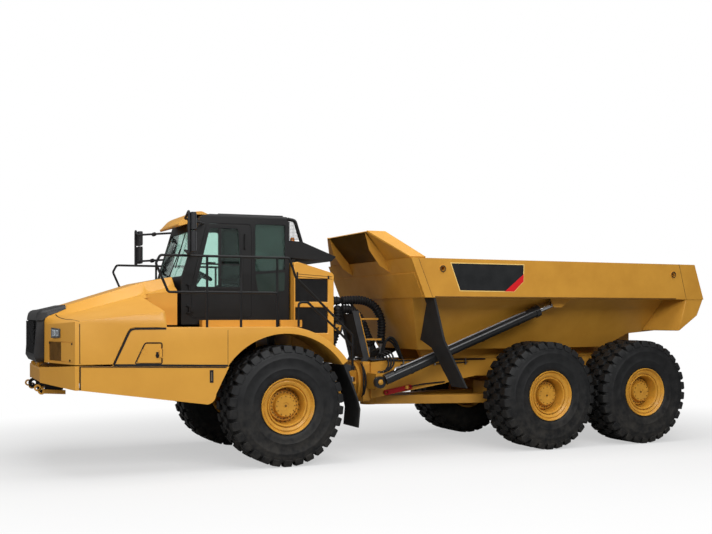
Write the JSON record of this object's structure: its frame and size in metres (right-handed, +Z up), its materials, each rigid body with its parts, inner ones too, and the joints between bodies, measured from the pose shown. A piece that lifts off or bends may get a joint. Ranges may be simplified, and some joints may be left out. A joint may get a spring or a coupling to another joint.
{
  "type": "articulated dump truck",
  "caption": "Large articulated dump truck: cab and hood on a front unit, rear unit steered about an upright hitch, tipping body with hoist cylinders, lugged tyres.",
  "frame": {"origin": "ground below the middle of the overall box", "axes": "+X forward, towards the hood's nose; +Y to the truck's left; +Z up"},
  "size_m": [11.382, 3.786, 3.8159],
  "materials": {
    "cab_black": "satin paint",
    "cast_parts": "matt",
    "chassis_black": "satin paint",
    "flap_rubber": "matt",
    "grille_grey": "matt",
    "hose_rubber": "matt",
    "hull_yellow": "satin paint",
    "lamp_lens": "smooth",
    "lock_red": "satin paint",
    "rim_yellow": "satin paint",
    "rod_steel": "polished",
    "seat_fabric": "woven",
    "trim_plastic": "matt",
    "tyre_rubber": "matt",
    "window_glass": "smooth"
  },
  "bodies": {
    "front_unit": {"front_frame": "chassis_black", "engine": "cast_parts", "front_axle": "hull_yellow", "front_struts": "chassis_black", "bumper": "hull_yellow", "side_panels": "hull_yellow", "fenders": "hull_yellow", "front_mudflaps": "flap_rubber", "cab": "cab_black", "cab_glass": "window_glass", "cab_roof": "cab_black", "cab_visor": "hull_yellow", "seat_base": "trim_plastic", "seat_cushion": "seat_fabric", "steering_column": "trim_plastic", "handrails": "cab_black", "mirrors": "trim_plastic", "radiator_module": "hull_yellow", "rear_guard": "cab_black", "deck_supports": "chassis_black", "front_hoses": "hose_rubber"},
    "hood_unit": {"hood": "hull_yellow", "grille": "grille_grey", "headlights": "lamp_lens"},
    "cab_door_unit": {"cab_door": "cab_black", "door_glass": "window_glass"},
    "service_door_unit": {"service_door": "hull_yellow"},
    "rear_unit": {"hitch_head": "cast_parts", "rear_frame": "hull_yellow", "tandem_axles": "hull_yellow", "walking_beams": "hull_yellow", "axle_tongue": "hull_yellow", "lock_link": "lock_red", "hose_guide": "chassis_black", "rear_hoses": "hose_rubber"},
    "dump_unit": {"dump_body": "hull_yellow", "headboard": "hull_yellow", "body_flaps": "flap_rubber"},
    "left_steering_barrel_unit": {"left_steering_barrel": "chassis_black"},
    "right_steering_barrel_unit": {"right_steering_barrel": "chassis_black"},
    "left_steering_rod_unit": {"left_steering_rod": "rod_steel"},
    "right_steering_rod_unit": {"right_steering_rod": "rod_steel"},
    "left_hoist_barrel_unit": {"left_hoist_barrel": "hull_yellow"},
    "right_hoist_barrel_unit": {"right_hoist_barrel": "hull_yellow"},
    "left_hoist_rod_unit": {"left_hoist_rod": "rod_steel"},
    "right_hoist_rod_unit": {"right_hoist_rod": "rod_steel"},
    "front_left_wheel": {"front_left_tyre": "tyre_rubber", "front_left_rim": "rim_yellow"},
    "front_right_wheel": {"front_right_tyre": "tyre_rubber", "front_right_rim": "rim_yellow"},
    "mid_left_wheel": {"mid_left_tyre": "tyre_rubber", "mid_left_rim": "rim_yellow"},
    "mid_right_wheel": {"mid_right_tyre": "tyre_rubber", "mid_right_rim": "rim_yellow"},
    "rear_left_wheel": {"rear_left_tyre": "tyre_rubber", "rear_left_rim": "rim_yellow"},
    "rear_right_wheel": {"rear_right_tyre": "tyre_rubber", "rear_right_rim": "rim_yellow"}
  },
  "joints": [
    {"name": "steering", "type": "hinge", "parent": "front_unit", "child": "rear_unit", "pos_m": [0.741, 0, 1.11], "axis": [0, 0, 1], "range_deg": [-45, 45]},
    {"name": "body_tip", "type": "hinge", "parent": "rear_unit", "child": "dump_unit", "pos_m": [-4.859, 0, 1.75], "axis": [0, -1, 0], "range_deg": [0, 70]},
    {"name": "hood_hinge", "type": "hinge", "parent": "front_unit", "child": "hood_unit", "pos_m": [5.611, 0, 1.52], "axis": [0, 1, 0], "range_deg": [0, 65]},
    {"name": "cab_door_hinge", "type": "hinge", "parent": "front_unit", "child": "cab_door_unit", "pos_m": [3.503, 0.872, 2.48], "axis": [0, 0, -1], "range_deg": [0, 45]},
    {"name": "service_door_hinge", "type": "hinge", "parent": "front_unit", "child": "service_door_unit", "pos_m": [4.11, 1.67, 1.703], "axis": [0, 0, 1], "range_deg": [0, 90]},
    {"name": "left_steering_foot", "type": "hinge", "parent": "front_unit", "child": "left_steering_barrel_unit", "pos_m": [1.891, 0.5, 1.18], "axis": [0, 0, 1], "range_deg": [-10, 10]},
    {"name": "left_steering_stroke", "type": "slide", "parent": "left_steering_barrel_unit", "child": "left_steering_rod_unit", "axis": [-0.9979, -0.0649, 0], "range_m": [-0.315, 0.315]},
    {"name": "left_hoist_foot", "type": "hinge", "parent": "rear_unit", "child": "left_hoist_barrel_unit", "pos_m": [0.381, 0.9, 1.15], "axis": [0.2558, 0.9072, 0.3339], "range_deg": [0, 7.2]},
    {"name": "left_hoist_stroke", "type": "slide", "parent": "left_hoist_barrel_unit", "child": "left_hoist_rod_unit", "axis": [-0.9173, 0.1187, 0.38], "range_m": [0, 2.53]},
    {"name": "right_steering_foot", "type": "hinge", "parent": "front_unit", "child": "right_steering_barrel_unit", "pos_m": [1.891, -0.5, 1.18], "axis": [0, 0, 1], "range_deg": [-10, 10]},
    {"name": "right_steering_stroke", "type": "slide", "parent": "right_steering_barrel_unit", "child": "right_steering_rod_unit", "axis": [-0.9979, 0.0649, 0], "range_m": [-0.315, 0.315]},
    {"name": "right_hoist_foot", "type": "hinge", "parent": "rear_unit", "child": "right_hoist_barrel_unit", "pos_m": [0.381, -0.9, 1.15], "axis": [-0.2558, 0.9072, -0.3339], "range_deg": [0, 7.2]},
    {"name": "right_hoist_stroke", "type": "slide", "parent": "right_hoist_barrel_unit", "child": "right_hoist_rod_unit", "axis": [-0.9173, -0.1187, 0.38], "range_m": [0, 2.53]},
    {"name": "front_left_axle", "type": "hinge", "parent": "front_unit", "child": "front_left_wheel", "pos_m": [2.241, 1.342, 0.895], "axis": [0, 1, 0], "continuous": true},
    {"name": "front_right_axle", "type": "hinge", "parent": "front_unit", "child": "front_right_wheel", "pos_m": [2.241, -1.342, 0.895], "axis": [0, 1, 0], "continuous": true},
    {"name": "mid_left_axle", "type": "hinge", "parent": "rear_unit", "child": "mid_left_wheel", "pos_m": [-2.381, 1.342, 0.895], "axis": [0, 1, 0], "continuous": true},
    {"name": "mid_right_axle", "type": "hinge", "parent": "rear_unit", "child": "mid_right_wheel", "pos_m": [-2.381, -1.342, 0.895], "axis": [0, 1, 0], "continuous": true},
    {"name": "rear_left_axle", "type": "hinge", "parent": "rear_unit", "child": "rear_left_wheel", "pos_m": [-4.348, 1.342, 0.895], "axis": [0, 1, 0], "continuous": true},
    {"name": "rear_right_axle", "type": "hinge", "parent": "rear_unit", "child": "rear_right_wheel", "pos_m": [-4.348, -1.342, 0.895], "axis": [0, 1, 0], "continuous": true}
  ],
  "couplings": [
    {"joint": "left_steering_foot", "follows": "steering", "ratio": 0.0188},
    {"joint": "left_steering_stroke", "follows": "steering", "m_per_rad": 0.39824},
    {"joint": "left_hoist_foot", "follows": "body_tip", "ratio": 0.10165},
    {"joint": "left_hoist_stroke", "follows": "body_tip", "m_per_rad": 2.0684},
    {"joint": "right_steering_foot", "follows": "steering", "ratio": 0.0188},
    {"joint": "right_steering_stroke", "follows": "steering", "m_per_rad": -0.39824},
    {"joint": "right_hoist_foot", "follows": "body_tip", "ratio": 0.10165},
    {"joint": "right_hoist_stroke", "follows": "body_tip", "m_per_rad": 2.0684}
  ]
}
